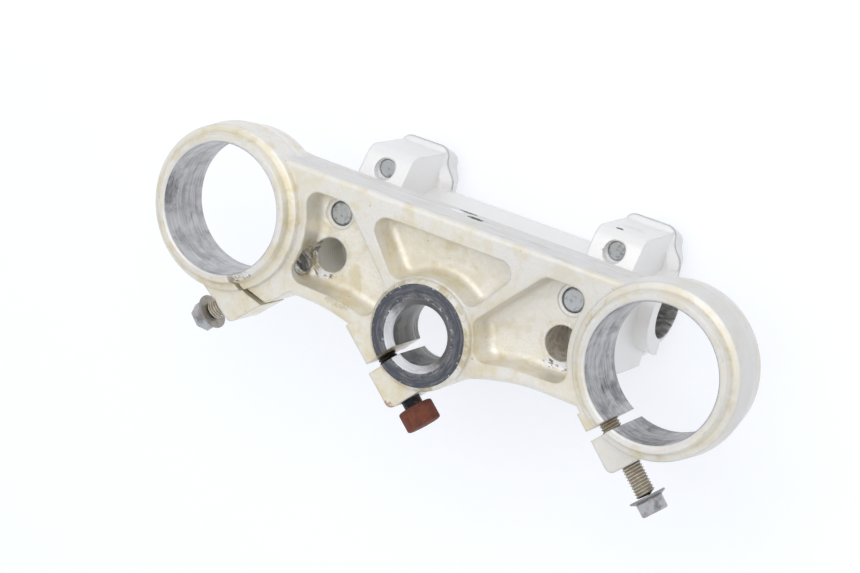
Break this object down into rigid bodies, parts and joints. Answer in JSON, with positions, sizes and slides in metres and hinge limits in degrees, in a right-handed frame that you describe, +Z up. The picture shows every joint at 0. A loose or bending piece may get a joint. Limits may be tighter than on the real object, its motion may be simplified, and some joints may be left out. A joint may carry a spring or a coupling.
{
  "type": "motorcycle triple clamp",
  "caption": "Upper fork yoke: split fork and stem clamps joined by a ribbed web, with handlebar risers and bolted bar caps.",
  "frame": {"origin": "on the stem bore's axis, in the machined seat face under the stem boss", "axes": "+Z up the steering stem, +Y to the front of the motorcycle, +X to the rider's right"},
  "size_m": [0.2672, 0.0998, 0.0973],
  "materials": {
    "casting": "cast, worn lacquer",
    "bar_cap": "cast, worn lacquer",
    "plated_steel": "worn plating",
    "rusty_steel": "rusted"
  },
  "bodies": {
    "root": {"clamp_body": "casting", "right_bar_cap": "bar_cap", "left_bar_cap": "bar_cap", "right_front_cap_bolt": "plated_steel", "right_rear_cap_bolt": "plated_steel", "right_riser_stud": "plated_steel", "left_front_cap_bolt": "plated_steel", "left_rear_cap_bolt": "plated_steel", "left_riser_stud": "plated_steel", "right_fork_pinch_bolt": "plated_steel", "left_fork_pinch_bolt": "plated_steel", "stem_pinch_bolt": "rusty_steel"}
  },
  "joints": []
}
